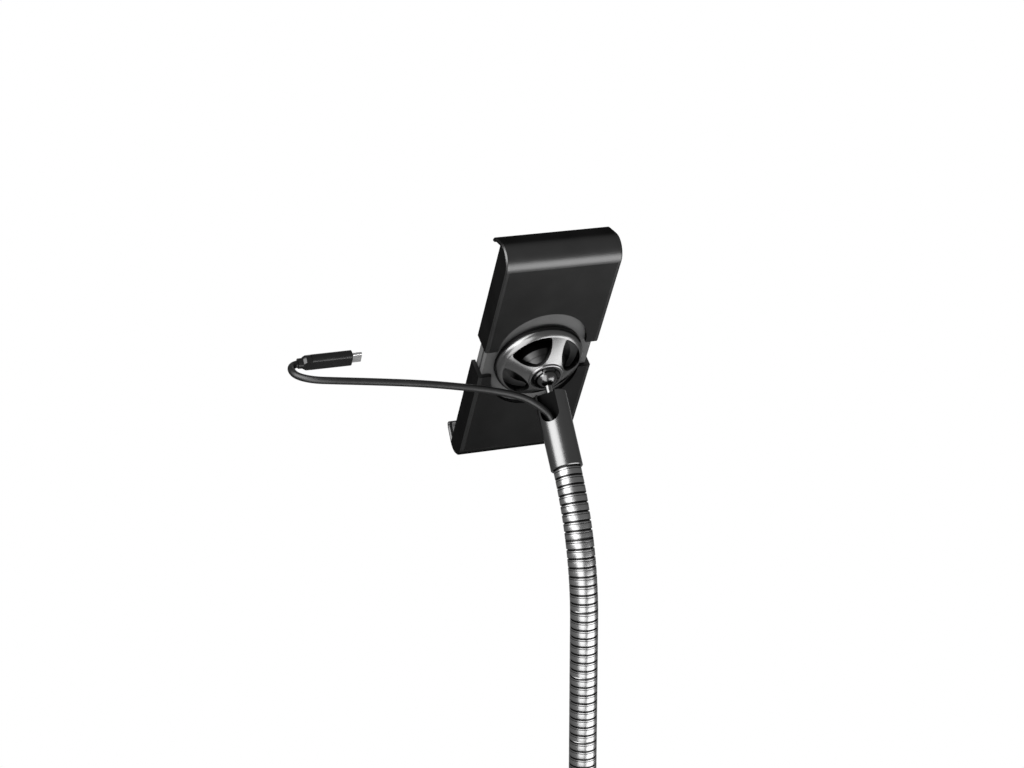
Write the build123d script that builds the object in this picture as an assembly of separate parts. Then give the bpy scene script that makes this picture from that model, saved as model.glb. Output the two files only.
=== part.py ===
from build123d import *
import math
import os

# Adjustable floor stand that clamps a tablet by its two long edges.
# From the floor up: a round steel base, a telescopic mast with a lever clamp, a ribbed gooseneck,
# a slotted end sleeve, a ball stud, and a sprung two-jaw clamp with a hand wheel that locks the ball.
# Millimetres, +Z up, origin on the floor under the middle of the mast, the user stands at -Y.

# Fits and clearances
running_gap = 0.1
free_gap = 0.3
seat_gap = 0.1
overrun = 2.0

# Base: floor mat, steel disc, centre bolt and foot plug
mat_radius = 138.0
mat_thickness = 2.5
mat_recess = 1.5
mat_hole_radius = 18.0
base_radius = 145.0
base_edge_thickness = 8.0
base_hub_thickness = 13.0
base_hub_radius = 42.0
base_edge_round = 2.5
bolt_radius = 5.0
bolt_head_radius = 8.5
bolt_head_height = 5.5
bolt_reach = 14.0
plug_height = 20.0

# Foot cover and cable outlet at the back of the mast
cover_radius = 40.0
cover_rim = 3.0
cover_neck_radius = 17.0
cover_neck_start = 22.0
cover_height = 46.0
cover_edge = 1.2
outlet_height = 31.0
outlet_bore_radius = 3.0
grommet_radius = 5.0
grommet_flange_radius = 6.8
grommet_flange = 1.4

# Mast tubes
outer_tube_radius = 12.5
outer_tube_wall = 1.5
outer_tube_length = 546.0
outer_slit_width = 2.0
outer_slit_length = 26.0
inner_tube_radius = 9.5
inner_tube_wall = 1.5
inner_tube_length = 536.0
bush_flange = 3.0
bush_length = 30.0
guide_length = 24.0
guide_lip = 4.0

# Lever clamp on the mast
collar_radius = 17.0
collar_below = 22.0
collar_lip = 4.0
collar_edge = 1.0
collar_slit = 2.0
ear_reach = 34.0
ear_half_width = 9.0
ear_height = 20.0
clamp_bolt_place = 26.0
clamp_bolt_radius = 2.5
clamp_nut_radius = 4.6
clamp_nut_height = 4.0
eye_radius = 4.0
eye_height = 7.0
lever_pin_radius = 2.0
cam_radius = 5.8
cam_offset = 0.6
lever_height = 17.0
lever_length = 58.0
lever_thickness = 4.0
lever_tip_radius = 7.0
lever_standoff = 1.2

# Mast ferrule that carries the gooseneck
ferrule_radius = 12.0
ferrule_length = 42.0
ferrule_socket = 21.0
ferrule_edge = 1.0
ferrule_groove = 1.0
screw_radius = 2.0

# Gooseneck: ribbed tube in eight lengths, straight and then bent forward
neck_base = 817.0
neck_radius = 9.25
neck_groove_radius = 8.55
neck_bore_radius = 5.5
neck_straight_length = 270.0
neck_bend_radius = 160.0
neck_lean = 36.4
link_count = 8
ribs_per_link = 8
groove_share = 0.2
ramp_share = 0.05
pivot_sphere_radius = 10.7
spigot_radius = 8.7
spigot_length = 13.0

# End sleeve, its slot, and what it holds
sleeve_radius = 10.75
sleeve_length = 52.0
sleeve_wall = 2.0
sleeve_edge = 0.5
slot_width = 13.0
slot_depth = 21.0
slot_turn = 40.0
insert_length = 23.5
insert_top_flat = 4.2
insert_bottom_flat = 1.2
insert_chamfer = 0.7
gland_thickness = 6.0
gland_drop = 25.0

# Ball, stud and the two cups that hold the ball
ball_radius = 7.75
ball_to_sleeve = 12.9
stud_radius = 2.25
stud_in_ball = 5.0
stud_in_insert = 10.0
liner_wall = 0.9
liner_edge_turn = 102.0
collet_radius = 12.0
collet_nose_radius = 8.9
collet_bottom = 20.5
collet_shoulder = 27.5
collet_top = 35.4
collet_lip = 33.5
collet_slit = 1.0
collet_slit_count = 6
collet_slit_bottom = 25.0

# Clamp head frame: heights are measured from the tablet's back face along the hub axis
tablet_tilt = 30.7
ball_height = 32.0

# Carriage that the two jaws slide on
carriage_half_width = 37.0
carriage_half_length = 62.0
carriage_back = 14.0
carriage_plate = 2.5
carriage_wall = 2.6
carriage_corner = 5.0
cover_plate_front = 2.4
cover_plate_thickness = 2.0
cover_pad_half_width = 27.0
cover_pad_half_length = 46.0
cover_pad_corner = 6.0
pad_front = 0.2
rail_height = 8.7
rail_width = 2.2
rail_depth = 1.2
spring_gate = 10.0
spring_radius = 3.2
spring_wire = 0.7
spring_height = 8.2
anchor_radius = 1.5
carriage_anchor = 27.0
tray_post_radius = 3.2
tray_post_inset = 8.0
small_screw_radius = 1.25
small_screw_length = 6.0
small_head_radius = 2.3
small_head_height = 1.2

# Boss under the hand wheel
boss_flange_radius = 22.5
boss_flange = 2.5
boss_radius = 15.0
boss_top = 26.0
boss_floor = 20.2
boss_screw_circle = 18.6
boss_screw_radius = 1.5
boss_screw_reach = 2.0

# Hand wheel
wheel_radius = 30.7
wheel_bottom = 15.2
wheel_lip_top = 16.2
wheel_groove = 0.6
wheel_side_radius = 30.5
wheel_side_top = 17.6
wheel_band_radius = 27.0
wheel_band_top = 22.8
wheel_spoke_rise = 0.25
wheel_top = 34.2
wheel_hub_radius = 12.2
wheel_hub_shoulder = 32.8
wheel_shell = 2.9
wheel_inner_rim = 28.4
wheel_sleeve_radius = 17.6
wheel_sleeve_bottom = 18.2
window_count = 4
window_turn = 28.0
window_outer_radius = 27.0
window_arc_place = 28.3
window_arc_radius = 15.7
window_round = 2.0

# Jaws: a bent shell with closed sides, an inset back panel and a lined hook
jaw_half_width = 40.0
jaw_side_wall = 2.65
jaw_back = 17.3
jaw_wall = 2.8
jaw_edge = 12.0
jaw_cutout_radius = 31.0
jaw_chamfer = 0.9
jaw_lip_round = 1.2
hook_start = 86.0
hook_radius = 12.0
hook_turn = 115.0
hook_flank = 9.0
hook_curl_radius = 9.0
hook_curl_turn = 42.0
jaw_front = 2.4
jaw_side_front = 0.6
panel_half_width = 37.2
panel_thickness = 1.2
front_plate_thickness = 2.0
front_plate_start = 76.0
front_plate_end = 90.0
tablet_half_width = 89.6
tablet_slot = 8.6
liner_face = 0.8
liner_land_end = 87.0
jaw_screw_place = 30.0
jaw_screw_row = 82.0
jaw_boss_radius = 3.2
jaw_anchor = 80.0
rib_height = 0.85

# Charging lead and its plug; the route's points are chosen by hand along the photographed line
lead_radius = 2.4
lead_offset = 4.5
lead_route = [
    (2.9, -40.85, 1200.8),
    (2.9, -48.6, 1211.3),
    (10.7, -50.7, 1219.6),
    (20.3, -54.9, 1225.9),
    (35.0, -60.0, 1230.0),
    (56.0, -65.0, 1234.0),
    (85.0, -69.6, 1238.6),
    (118.0, -73.2, 1242.6),
    (143.0, -76.0, 1245.3),
    (157.0, -78.7, 1246.6),
    (166.0, -85.5, 1248.3),
    (167.2, -94.6, 1250.4),
    (162.9, -100.1, 1251.6),
    (157.3, -100.1, 1251.6),
]
run_share = 0.45
plug_body_length = 27.3
plug_body_width = 11.0
plug_body_thickness = 6.6
plug_body_round = 2.6
plug_end_round = 0.6
plug_tip_length = 6.6
plug_tip_width = 8.3
plug_tip_thickness = 2.5
plug_tip_wall = 0.35
collar_piece_length = 5.7
collar_piece_radius = 5.0
collar_piece_end_radius = 3.9
relief_length = 3.2
relief_radius = 3.5

# Heights up the mast and places that several pieces share
base_bottom = mat_thickness - mat_recess
base_top = base_bottom + base_hub_thickness
outer_top = base_top + outer_tube_length
outer_bore = outer_tube_radius - outer_tube_wall
inner_bore = inner_tube_radius - inner_tube_wall
collar_top = outer_top + bush_flange + collar_lip
ferrule_bottom = neck_base - ferrule_length
inner_top = ferrule_bottom + ferrule_socket
inner_bottom = inner_top - inner_tube_length
clamp_height = outer_top - collar_below / 2
pin_reach = ear_half_width + free_gap + cam_radius + cam_offset
cover_plate_back = cover_plate_front + cover_plate_thickness
plate_inside = carriage_back - carriage_plate

# Gooseneck lengths
neck_arc = neck_bend_radius * math.radians(neck_lean)
neck_length = neck_straight_length + neck_arc
link_length = neck_length / link_count
rib_pitch = link_length / ribs_per_link
pivot_drop = math.sqrt(pivot_sphere_radius**2 - neck_radius**2)


def neck_plane(along):
    """The plane square to the gooseneck's middle line, at a length along it from the ferrule."""
    if along <= neck_straight_length:
        return Plane(origin=(0, 0, neck_base + along), x_dir=(1, 0, 0), z_dir=(0, 0, 1))
    turn = (along - neck_straight_length) / neck_bend_radius
    back = neck_bend_radius * (math.cos(turn) - 1)
    up = neck_base + neck_straight_length + neck_bend_radius * math.sin(turn)
    way = (0, -math.sin(turn), math.cos(turn))
    return Plane(origin=(0, back, up), x_dir=(1, 0, 0), z_dir=way)


# The ball's middle is the origin of two frames: the sleeve's, whose z runs up the neck,
# and the head's, whose z is the hub axis, from the tablet towards the neck, and whose y runs up the tablet.
neck_end = neck_plane(neck_length)
ball_place = neck_end.origin + neck_end.z_dir * (sleeve_length + ball_to_sleeve)
sleeve_frame = Plane(origin=ball_place, x_dir=(1, 0, 0), z_dir=neck_end.z_dir)
tilt = math.radians(tablet_tilt)
hub_axis = Vector(0, math.cos(tilt), -math.sin(tilt))
head_frame = Plane(origin=ball_place - hub_axis * ball_height, x_dir=(-1, 0, 0), z_dir=hub_axis)
sleeve_top = -ball_to_sleeve
sleeve_bottom = sleeve_top - sleeve_length
sleeve_bore = sleeve_radius - sleeve_wall


def rod(radius, bottom, top):
    """An upright cylinder between two heights."""
    return Pos(0, 0, bottom) * Cylinder(radius, top - bottom, align=(Align.CENTER, Align.CENTER, Align.MIN))


def pipe(radius, bore, bottom, top):
    """An upright tube between two heights."""
    return rod(radius, bottom, top) - rod(bore, bottom - overrun, top + overrun)


def turned(points):
    """A solid turned about Z from a closed outline of (radius, height) points."""
    return revolve(make_face(Plane.XZ * Polyline(*points, close=True)), Axis.Z)


def block(half_x, half_y, bottom, top, corner=0):
    """A plate between two heights, with its upright corners rounded."""
    outline = Rectangle(2 * half_x, 2 * half_y)
    if corner:
        outline = RectangleRounded(2 * half_x, 2 * half_y, corner)
    return Pos(0, 0, bottom) * extrude(outline, top - bottom)


def cap_screw(shaft_radius, shaft, head_radius, head):
    """A socket screw with its head's underside at the origin and its shaft up +Z."""
    socket = Pos(0, 0, -head) * extrude(RegularPolygon(head_radius / 2, 6), head / 2)
    return rod(shaft_radius, 0, shaft) + rod(head_radius, -head, 0) - socket


def grub_screw(length):
    """A headless screw along +Z from the origin, with a socket in its outer end."""
    socket = Pos(0, 0, length / 2) * extrude(RegularPolygon(screw_radius / 2, 6), length / 2)
    return rod(screw_radius, 0, length) - socket


def edges_near(part, places):
    """The edges of a part whose middles lie nearest to the given places."""
    return [min(part.edges(), key=lambda edge: (edge @ 0.5 - Vector(*place)).length) for place in places]


# Base

def base_floor_mat():
    return pipe(mat_radius, mat_hole_radius, 0, mat_thickness)


def base_plate():
    rim_top = base_bottom + base_edge_thickness
    plate = turned([
        (0, base_bottom),
        (base_radius, base_bottom),
        (base_radius, rim_top),
        (base_hub_radius, base_top),
        (0, base_top),
    ])
    rims = plate.edges().filter_by(GeomType.CIRCLE).group_by(SortBy.RADIUS)[-1].sort_by(Axis.Z)
    plate = fillet(rims[-1], base_edge_round)
    recess = rod(mat_radius + seat_gap, base_bottom - overrun, mat_thickness)
    head_pocket = rod(bolt_head_radius + free_gap, 0, mat_thickness + bolt_head_height + free_gap)
    return plate - recess - head_pocket - rod(bolt_radius + seat_gap, 0, base_top + overrun)


def base_bolt():
    seat = mat_thickness + bolt_head_height + free_gap
    screw = cap_screw(bolt_radius, base_top + bolt_reach - seat, bolt_head_radius, bolt_head_height)
    return Pos(0, 0, seat) * screw


def foot_plug():
    plug = rod(outer_bore - seat_gap, base_top, base_top + plug_height)
    return plug - rod(bolt_radius + seat_gap, base_top - overrun, base_top + bolt_reach + overrun)


def outlet_tool(radius):
    """A bore through the back of the mast at the cable outlet."""
    start = Plane(origin=(0, 0, base_top + outlet_height), z_dir=(0, 1, 0))
    return start * rod(radius, 0, cover_radius)


def post_foot_cover():
    wall = cover_neck_radius - outer_tube_radius - seat_gap
    rise = base_top + cover_neck_start
    top = base_top + cover_height
    edge = base_top + cover_rim
    flare = (cover_radius + cover_neck_radius) / 2 - wall / 2
    outer = [
        Line((cover_radius, base_top), (cover_radius, edge)),
        ThreePointArc((cover_radius, edge), (flare, (edge + rise) / 2 - wall), (cover_neck_radius, rise)),
        Line((cover_neck_radius, rise), (cover_neck_radius, top)),
        Line((cover_neck_radius, top), (outer_tube_radius + seat_gap, top)),
        Line((outer_tube_radius + seat_gap, top), (outer_tube_radius + seat_gap, base_top)),
        Line((outer_tube_radius + seat_gap, base_top), (cover_radius, base_top)),
    ]
    cover = revolve(make_face(Plane.XZ * Wire(outer)), Axis.Z)
    cover = chamfer(edges_near(cover, [(-cover_neck_radius, 0, top)]), cover_edge)
    return cover - outlet_tool(grommet_radius + seat_gap)


def cable_outlet_grommet():
    start = Plane(origin=(0, 0, base_top + outlet_height), z_dir=(0, 1, 0))
    face = math.sqrt(cover_neck_radius**2 - grommet_flange_radius**2)
    body = rod(grommet_radius, outer_tube_radius + free_gap, cover_neck_radius)
    flange = rod(grommet_flange_radius, face, cover_neck_radius + grommet_flange)
    ring = start * (body + flange)
    keep_out = rod(cover_neck_radius + seat_gap, base_top, base_top + cover_height)
    shank = start * rod(grommet_radius, outer_tube_radius + free_gap, cover_neck_radius + seat_gap)
    return (ring - keep_out) + shank - outlet_tool(outlet_bore_radius)


# Mast

def outer_tube():
    tube = pipe(outer_tube_radius, outer_bore, base_top, outer_top)
    slit = Box(outer_tube_radius, outer_slit_width, 2 * outer_slit_length)
    slit = Pos(outer_tube_radius, 0, outer_top) * slit
    return tube - slit - outlet_tool(outlet_bore_radius + seat_gap)


def outer_tube_bush():
    bore = inner_tube_radius + running_gap
    shank = pipe(outer_bore - seat_gap, bore, outer_top - bush_length, outer_top)
    flange = pipe(outer_tube_radius, bore, outer_top, outer_top + bush_flange)
    return shank + flange


def clamp_collar():
    bottom = outer_top - collar_below
    ring = rod(collar_radius, bottom, collar_top)
    ring = chamfer(ring.edges().filter_by(GeomType.CIRCLE), collar_edge)
    ears = Box(ear_reach, 2 * ear_half_width, ear_height, align=(Align.MIN, Align.CENTER, Align.CENTER))
    ears = fillet(ears.edges().filter_by(Axis.Y).group_by(Axis.X)[-1], ear_half_width / 2)
    body = ring + Pos(0, 0, clamp_height) * ears
    body -= rod(outer_tube_radius + seat_gap, bottom - overrun, outer_top + bush_flange)
    body -= rod(inner_tube_radius + 2 * free_gap, bottom, collar_top + overrun)
    slit_height = 2 * ear_height + collar_below
    slit = Box(ear_reach + overrun, collar_slit, slit_height, align=(Align.MIN, Align.CENTER, Align.CENTER))
    body -= Pos(0, 0, clamp_height) * slit
    return body - bolt_frame() * rod(clamp_bolt_radius + seat_gap, -ear_reach, ear_reach)


def bolt_frame():
    """Across the clamp's ears, with z along +Y."""
    return Plane(origin=(clamp_bolt_place, 0, clamp_height), z_dir=(0, 1, 0))


def clamp_bolt():
    shaft = bolt_frame() * rod(clamp_bolt_radius, -ear_half_width, pin_reach)
    nut = extrude(RegularPolygon(clamp_nut_radius, 6), clamp_nut_height)
    nut = bolt_frame() * Pos(0, 0, -ear_half_width - clamp_nut_height) * nut
    centre = Pos(clamp_bolt_place, pin_reach, clamp_height)
    hole = centre * Cylinder(lever_pin_radius + running_gap, lever_height)
    return shaft + nut + centre * Cylinder(eye_radius, eye_height) - hole


def lever_pin():
    return Pos(clamp_bolt_place, pin_reach, clamp_height) * Cylinder(lever_pin_radius, lever_height)


def clamp_lever():
    inner_face = collar_radius + lever_standoff
    middle = inner_face + lever_thickness / 2
    cam = Pos(clamp_bolt_place, pin_reach - cam_offset) * Circle(cam_radius)
    tip = clamp_bolt_place - lever_length
    arm = make_face(Polyline(
        (clamp_bolt_place, pin_reach + cam_radius - cam_offset),
        (clamp_bolt_place + cam_radius, pin_reach - cam_offset),
        (clamp_bolt_place, inner_face),
        (clamp_bolt_place - 2 * cam_radius, inner_face),
        (tip + lever_tip_radius, inner_face),
        (tip, inner_face + lever_thickness),
        (tip + lever_tip_radius, middle + lever_thickness),
        close=True,
    ))
    arm = fillet(arm.vertices().group_by(Axis.X)[0], lever_thickness / 3)
    lever = Pos(0, 0, clamp_height - lever_height / 2) * extrude(cam + arm, lever_height)
    fork = Pos(clamp_bolt_place - eye_radius - free_gap, pin_reach, clamp_height) * Box(
        lever_length, lever_length, eye_height + 2 * free_gap, align=(Align.MIN, Align.CENTER, Align.CENTER)
    )
    hole = Cylinder(lever_pin_radius + seat_gap, 2 * lever_height)
    return lever - fork - Pos(clamp_bolt_place, pin_reach, clamp_height) * hole


def inner_tube():
    return pipe(inner_tube_radius, inner_bore, inner_bottom, inner_top)


def inner_tube_guide():
    bottom = inner_bottom - guide_lip
    ring = pipe(outer_bore - free_gap, inner_tube_radius + seat_gap, bottom, inner_bottom + guide_length)
    return ring + pipe(inner_tube_radius + free_gap, inner_bore, bottom, inner_bottom)


def mast_ferrule():
    body = rod(ferrule_radius, ferrule_bottom, neck_base)
    body = chamfer(body.edges().filter_by(GeomType.CIRCLE), ferrule_edge)
    groove_radius = ferrule_radius - ferrule_groove / 2
    body -= pipe(ferrule_radius + overrun, groove_radius, inner_top, inner_top + ferrule_groove)
    body -= rod(inner_tube_radius + seat_gap, ferrule_bottom - overrun, inner_top)
    body -= rod(neck_bore_radius, inner_top - overrun, neck_base)
    body -= rod(spigot_radius + seat_gap, neck_base - spigot_length, neck_base + overrun)
    return body - ferrule_screw_frame() * rod(screw_radius + seat_gap, 0, ferrule_radius)


def ferrule_screw_frame():
    """Radially out of the inner tube's wall, towards the back."""
    height = (ferrule_bottom + inner_top) / 2
    return Plane(origin=(0, inner_tube_radius, height), z_dir=(0, 1, 0))


def mast_ferrule_screw():
    return ferrule_screw_frame() * grub_screw(ferrule_radius - inner_tube_radius)


# Gooseneck

def rib_circles(start, last):
    """Four circles of one rib: its crest and the groove that ends it."""
    groove = groove_share * rib_pitch
    ramp = ramp_share * rib_pitch
    crest_end = start + rib_pitch - groove
    circles = [neck_plane(start) * Circle(neck_radius)]
    if last:
        return circles + [neck_plane(start + rib_pitch) * Circle(neck_radius)]
    circles.append(neck_plane(crest_end) * Circle(neck_radius))
    circles.append(neck_plane(crest_end + ramp) * Circle(neck_groove_radius))
    circles.append(neck_plane(start + rib_pitch - ramp) * Circle(neck_groove_radius))
    return circles


def middle_line(start, end):
    """The gooseneck's middle line between two lengths along it."""
    first = neck_plane(start)
    last = neck_plane(end)
    if end <= neck_straight_length:
        return Line(first.origin, last.origin)
    if start >= neck_straight_length:
        return ThreePointArc(first.origin, neck_plane((start + end) / 2).origin, last.origin)
    knee = neck_plane(neck_straight_length)
    bent = ThreePointArc(knee.origin, neck_plane((neck_straight_length + end) / 2).origin, last.origin)
    return Wire([Line(first.origin, knee.origin), bent])


def pivot_place(number):
    """The middle of the ball seat between one link and the next, inside the lower link."""
    seam = neck_plane(number * link_length)
    return seam.origin - seam.z_dir * pivot_drop


def neck_link(number):
    start = (number - 1) * link_length
    end = number * link_length
    circles = []
    for rib in range(ribs_per_link):
        circles += rib_circles(start + rib * rib_pitch, rib == ribs_per_link - 1)
    link = loft(circles, ruled=True)
    if number > 1:
        link -= Pos(*pivot_place(number - 1)) * Sphere(pivot_sphere_radius + free_gap)
    else:
        link += neck_plane(start) * rod(spigot_radius, -spigot_length, 0)
    if number < link_count:
        cap = Pos(*pivot_place(number)) * Sphere(pivot_sphere_radius)
        link += split(cap, bisect_by=neck_plane(end), keep=Keep.TOP)
    else:
        link += neck_plane(end) * rod(spigot_radius, 0, spigot_length)
    bore_start = neck_plane(start) * rod(neck_bore_radius, -spigot_length - overrun, 0)
    bore_end = neck_plane(end) * rod(neck_bore_radius, 0, spigot_length + overrun)
    bore = sweep(neck_plane(start) * Circle(neck_bore_radius), path=middle_line(start, end))
    return link - bore - bore_start - bore_end


# Sleeve and what it holds, in the sleeve's frame

def slot_frame():
    """Out of the sleeve's slot, with z radially out and x along the sleeve."""
    turn = math.radians(slot_turn)
    way = (math.sin(turn), math.cos(turn), 0)
    return Plane(origin=(0, 0, sleeve_top - slot_depth + slot_width / 2), x_dir=(0, 0, 1), z_dir=way)


def sleeve():
    body = rod(sleeve_radius, sleeve_bottom, sleeve_top)
    body = chamfer(body.edges().filter_by(GeomType.CIRCLE), sleeve_edge)
    body -= rod(sleeve_bore, sleeve_bottom + spigot_length, sleeve_top + overrun)
    body -= rod(spigot_radius + seat_gap, sleeve_bottom - overrun, sleeve_bottom + spigot_length)
    outline = Pos(slot_depth, 0) * Rectangle(2 * slot_depth, slot_width) + Circle(slot_width / 2)
    slot = slot_frame() * extrude(outline, sleeve_radius + overrun)
    return body - slot - sleeve_screw_frame() * rod(screw_radius + seat_gap, 0, sleeve_radius)


def sleeve_insert():
    """A plug with a slanted flat on the slot's side, which leaves room for the lead."""
    bottom = sleeve_top - insert_length
    plug = rod(sleeve_bore - seat_gap, bottom, sleeve_top)
    plug = chamfer(plug.edges().group_by(Axis.Z)[-1], insert_chamfer)
    wedge = make_face(Polyline(
        (insert_top_flat, sleeve_top + overrun),
        (insert_top_flat, sleeve_top),
        (insert_bottom_flat, bottom),
        (insert_bottom_flat, bottom - overrun),
        (sleeve_radius, bottom - overrun),
        (sleeve_radius, sleeve_top + overrun),
        close=True,
    ))
    wedge = extrude(Plane.XZ * wedge, sleeve_radius, both=True)
    wedge = Rot(0, 0, 90 - slot_turn) * wedge
    hole = rod(stud_radius + seat_gap, sleeve_top - stud_in_insert, sleeve_top + overrun)
    return plug - wedge - hole


def sleeve_screw_frame():
    """Radially out of the insert, opposite the slot."""
    turn = math.radians(slot_turn)
    way = (-math.sin(turn), -math.cos(turn), 0)
    reach = sleeve_bore - seat_gap
    height = sleeve_top - insert_length / 2
    return Plane(origin=(reach * way[0], reach * way[1], height), z_dir=way)


def sleeve_screw():
    return sleeve_screw_frame() * grub_screw(sleeve_radius - sleeve_bore)


def ball_stud():
    return rod(stud_radius, sleeve_top - stud_in_insert, -ball_radius + stud_in_ball)


def ball():
    return Sphere(ball_radius) - rod(stud_radius + seat_gap, -2 * ball_radius, -ball_radius + stud_in_ball)


def lead_gland():
    top = sleeve_top - gland_drop
    turn = math.radians(slot_turn)
    hole = Pos(lead_offset * math.sin(turn), lead_offset * math.cos(turn), 0) * rod(
        lead_radius + seat_gap, top - gland_thickness - overrun, top + overrun
    )
    return rod(sleeve_bore - seat_gap, top - gland_thickness, top) - hole


# Ball socket, in the head's frame

def ball_liner():
    inner = ball_radius + running_gap
    outer = inner + liner_wall
    edge = ball_height + outer * math.cos(math.radians(liner_edge_turn))
    shell = Pos(0, 0, ball_height) * (Sphere(outer) - Sphere(inner))
    return split(shell, bisect_by=Plane(origin=(0, 0, edge)), keep=Keep.BOTTOM)


def clamp_collet():
    cup_radius = ball_radius + liner_wall + 2 * running_gap
    collet = turned([
        (0, collet_bottom),
        (collet_radius, collet_bottom),
        (collet_radius, collet_shoulder),
        (collet_nose_radius, collet_top),
        (0, collet_top),
    ])
    cup = Pos(0, 0, ball_height) * Sphere(cup_radius)
    cup = split(cup, bisect_by=Plane(origin=(0, 0, collet_lip)), keep=Keep.BOTTOM)
    collet = collet - cup - Pos(0, 0, ball_height) * Sphere(ball_radius + running_gap)
    slit_height = collet_top - collet_slit_bottom
    slit = Box(collet_radius + overrun, collet_slit, slit_height, align=(Align.MIN, Align.CENTER, Align.MIN))
    for turn in range(collet_slit_count):
        collet -= Rot(0, 0, turn * 360 / collet_slit_count) * Pos(0, 0, collet_slit_bottom) * slit
    return collet


def screw_circle(radius, count, first):
    """Places evenly round a circle."""
    return [Rot(0, 0, first + turn * 360 / count) * Pos(radius, 0, 0) for turn in range(count)]


def carriage_boss():
    boss = rod(boss_flange_radius, carriage_back, carriage_back + boss_flange)
    boss += rod(boss_radius, carriage_back, boss_top)
    boss -= rod(collet_radius + free_gap, boss_floor, boss_top + overrun)
    hole = rod(boss_screw_radius + seat_gap, carriage_back - overrun, carriage_back + boss_screw_reach)
    for place in screw_circle(boss_screw_circle, 4, 45):
        boss -= place * hole
    return boss


def boss_screws():
    seat = carriage_back - carriage_plate
    reach = carriage_plate + boss_screw_reach
    screw = cap_screw(boss_screw_radius, reach, small_head_radius, small_head_height)
    return [place * Pos(0, 0, seat) * screw for place in screw_circle(boss_screw_circle, 4, 45)]


def wheel_window():
    """A lens between the rim and the hub, with rounded ends."""
    lens = Circle(window_outer_radius) & Pos(window_arc_place, 0) * Circle(window_arc_radius)
    lens = fillet(lens.vertices(), window_round)
    return Pos(0, 0, wheel_bottom - overrun) * extrude(lens, wheel_top)


def lock_wheel():
    """A hand wheel: rim, four spokes that rise to the hub, and a threaded sleeve under the hub."""
    groove_top = wheel_lip_top + wheel_groove
    groove_radius = wheel_side_radius - wheel_groove
    crown = (wheel_side_radius + wheel_band_radius) / 2
    crown_top = (wheel_side_top + wheel_band_top) / 2 + wheel_groove
    spoke = (wheel_band_radius + wheel_hub_radius) / 2
    spoke_top = (wheel_band_top + wheel_hub_shoulder) / 2 + wheel_spoke_rise
    sleeve_bore_radius = boss_radius + free_gap
    shoulder = boss_top + 2 * free_gap
    nose_slope = (collet_radius - collet_nose_radius) / (collet_top - collet_shoulder)
    mouth = collet_nose_radius + nose_slope * (collet_top - wheel_top) + free_gap
    waist = mouth + nose_slope * (wheel_top - collet_shoulder)
    mouth_edge = wheel_hub_radius - 2 * wheel_groove
    band_underside = wheel_band_top - wheel_shell
    outline = [
        Line((wheel_radius, wheel_bottom), (wheel_radius, wheel_lip_top)),
        Line((wheel_radius, wheel_lip_top), (groove_radius, wheel_lip_top)),
        Line((groove_radius, wheel_lip_top), (groove_radius, groove_top)),
        Line((groove_radius, groove_top), (wheel_side_radius, groove_top)),
        Line((wheel_side_radius, groove_top), (wheel_side_radius, wheel_side_top)),
        ThreePointArc(
            (wheel_side_radius, wheel_side_top),
            (crown + wheel_groove, crown_top),
            (wheel_band_radius, wheel_band_top),
        ),
        ThreePointArc(
            (wheel_band_radius, wheel_band_top), (spoke, spoke_top), (wheel_hub_radius, wheel_hub_shoulder)
        ),
        ThreePointArc(
            (wheel_hub_radius, wheel_hub_shoulder),
            (wheel_hub_radius - wheel_groove / 3, wheel_top - wheel_groove),
            (mouth_edge, wheel_top),
        ),
        Line((mouth_edge, wheel_top), (mouth, wheel_top)),
        Line((mouth, wheel_top), (mouth, shoulder)),
        Line((mouth, shoulder), (wheel_sleeve_radius, shoulder - wheel_groove)),
        Line((wheel_sleeve_radius, shoulder - wheel_groove), (wheel_band_radius, band_underside)),
        Line((wheel_band_radius, band_underside), (wheel_inner_rim, wheel_lip_top)),
        Line((wheel_inner_rim, wheel_lip_top), (wheel_inner_rim, wheel_bottom)),
        Line((wheel_inner_rim, wheel_bottom), (wheel_radius, wheel_bottom)),
    ]
    wheel = revolve(make_face(Plane.XZ * Wire(outline)), Axis.Z)
    window = wheel_window()
    for turn in range(window_count):
        wheel -= Rot(0, 0, window_turn + turn * 360 / window_count) * window
    wheel += turned([
        (0, wheel_sleeve_bottom),
        (wheel_sleeve_radius, wheel_sleeve_bottom),
        (wheel_sleeve_radius, boss_top - wheel_shell),
        (wheel_hub_radius + wheel_groove, wheel_hub_shoulder - wheel_shell),
        (0, wheel_hub_shoulder - wheel_shell),
    ])
    bore = turned([
        (0, wheel_sleeve_bottom - overrun),
        (sleeve_bore_radius, wheel_sleeve_bottom - overrun),
        (sleeve_bore_radius, shoulder),
        (waist, shoulder),
        (waist, collet_shoulder),
        (mouth, wheel_top),
        (mouth, wheel_top + overrun),
        (0, wheel_top + overrun),
    ])
    return wheel - bore


# Carriage, in the head's frame


def tray_posts():
    """Places of the cover's four screw posts."""
    along = carriage_half_length - tray_post_inset
    across = carriage_half_width - tray_post_inset
    return [Pos(x * across, y * along, 0) for x in (-1, 1) for y in (-1, 1)]


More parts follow.
